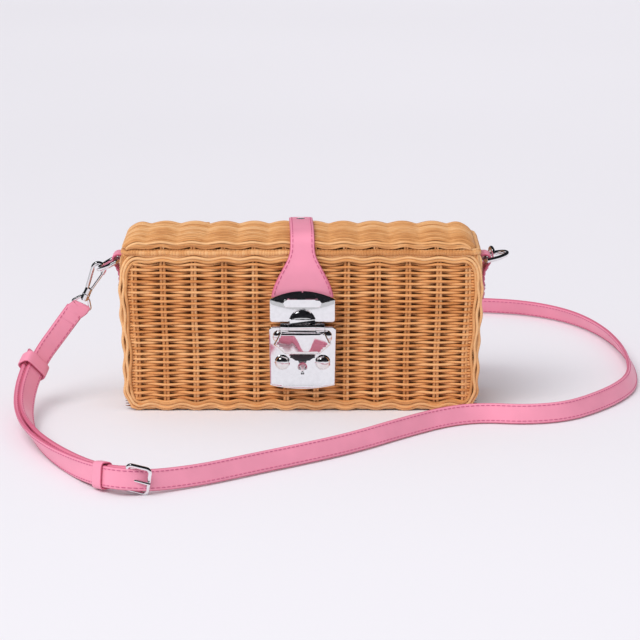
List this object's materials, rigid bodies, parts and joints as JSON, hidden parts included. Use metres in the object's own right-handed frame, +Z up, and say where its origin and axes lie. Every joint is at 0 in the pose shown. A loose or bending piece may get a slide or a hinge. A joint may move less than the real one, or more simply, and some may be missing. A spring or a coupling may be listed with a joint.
{
  "type": "basket bag",
  "caption": "Box-shaped basket bag of woven rattan with a hinged lid, a leather tab with a polished clasp, and a long leather strap hooked to rings.",
  "frame": {"origin": "middle of the basket's bottom, on the surface it stands on", "axes": "+Z up, -Y to the front with the clasp, +X to the right as seen from the front"},
  "size_m": [0.3844, 0.4692, 0.1126],
  "materials": {
    "rattan": "lacquered woven core, light honey colour with red-brown gaps",
    "pink_leather": "smooth grained leather with painted edges and stitching",
    "polished_metal": "mirror polish",
    "plain_steel": "plain, hidden behind the clasp"
  },
  "bodies": {
    "basket": {"front_panel": "rattan", "back_panel": "rattan", "left_end": "rattan", "right_end": "rattan", "bottom_panel": "rattan", "front_stakes": "rattan", "back_stakes": "rattan", "body_rim": "rattan", "hinge_loops": "rattan", "lock_plate": "polished_metal", "keyhole_ring": "polished_metal", "lock_studs": "polished_metal", "catch_disc": "polished_metal", "lock_backing": "plain_steel", "lock_rivets": "plain_steel", "side_tab_left": "pink_leather", "side_tab_right": "pink_leather", "side_rivet_left": "polished_metal", "side_rivet_right": "polished_metal", "eye_left": "polished_metal", "eye_right": "polished_metal", "strap_short": "pink_leather", "strap_long": "pink_leather", "buckle_frame": "polished_metal", "keeper_fixed": "pink_leather"},
    "lid": {"lid_panel": "rattan", "lid_back_rod": "rattan", "lid_tab": "pink_leather", "tab_rivet": "polished_metal", "clasp_plate": "polished_metal", "clasp_pin": "plain_steel", "clasp_back": "plain_steel"},
    "hasp": {"hasp": "polished_metal"},
    "ring_left": {"ring_left": "polished_metal"},
    "ring_right": {"ring_right": "polished_metal"},
    "hook_left": {"hook_left": "polished_metal"},
    "hook_right": {"hook_right": "polished_metal"},
    "gate_left": {"gate_left": "polished_metal"},
    "gate_right": {"gate_right": "polished_metal"},
    "prong": {"buckle_prong": "polished_metal"},
    "keeper": {"keeper_free": "pink_leather"}
  },
  "joints": [
    {"name": "lid_hinge", "type": "hinge", "parent": "basket", "child": "lid", "pos_m": [0, 0.0304, 0.1026], "axis": [-1, 0, 0], "range_deg": [0, 105]},
    {"name": "hasp_hinge", "type": "hinge", "parent": "lid", "child": "hasp", "pos_m": [0.0006, -0.0415, 0.0543], "axis": [-1, 0, 0], "range_deg": [0, 120]},
    {"name": "ring_left_swing", "type": "hinge", "parent": "basket", "child": "ring_left", "pos_m": [-0.1122, 0, 0.0882], "axis": [0, 1, 0], "range_deg": [-3, 3]},
    {"name": "ring_right_swing", "type": "hinge", "parent": "basket", "child": "ring_right", "pos_m": [0.1122, 0, 0.0882], "axis": [0, 1, 0], "range_deg": [-3, 3]},
    {"name": "hook_left_swivel", "type": "hinge", "parent": "basket", "child": "hook_left", "pos_m": [-0.12333, 0, 0.08443], "axis": [-0.436, 0, -0.9], "range_deg": [-12, 12]},
    {"name": "hook_right_swivel", "type": "hinge", "parent": "basket", "child": "hook_right", "pos_m": [0.1177, 0.0066, 0.0904], "axis": [-0.1538, 0.9252, -0.3468], "range_deg": [-12, 12]},
    {"name": "gate_left_pivot", "type": "hinge", "parent": "hook_left", "child": "gate_left", "pos_m": [-0.12983, 0, 0.06802], "axis": [0, -1, 0], "range_deg": [0, 18], "stiffness_Nm_per_rad": 0.005, "springref_deg": -11.46},
    {"name": "gate_right_pivot", "type": "hinge", "parent": "hook_right", "child": "gate_right", "pos_m": [0.11469, 0.02328, 0.0855], "axis": [0.9608, 0.222, 0.166], "range_deg": [0, 18], "stiffness_Nm_per_rad": 0.005, "springref_deg": -11.46},
    {"name": "prong_hinge", "type": "hinge", "parent": "basket", "child": "prong", "pos_m": [-0.09409, -0.21584, 0.01003], "axis": [-0.1508, 0.2363, -0.9599], "range_deg": [0, 10]},
    {"name": "keeper_slide", "type": "slide", "parent": "basket", "child": "keeper", "axis": [-0.233, -0.84, -0.49], "range_m": [-0.004, 0.004]}
  ]
}
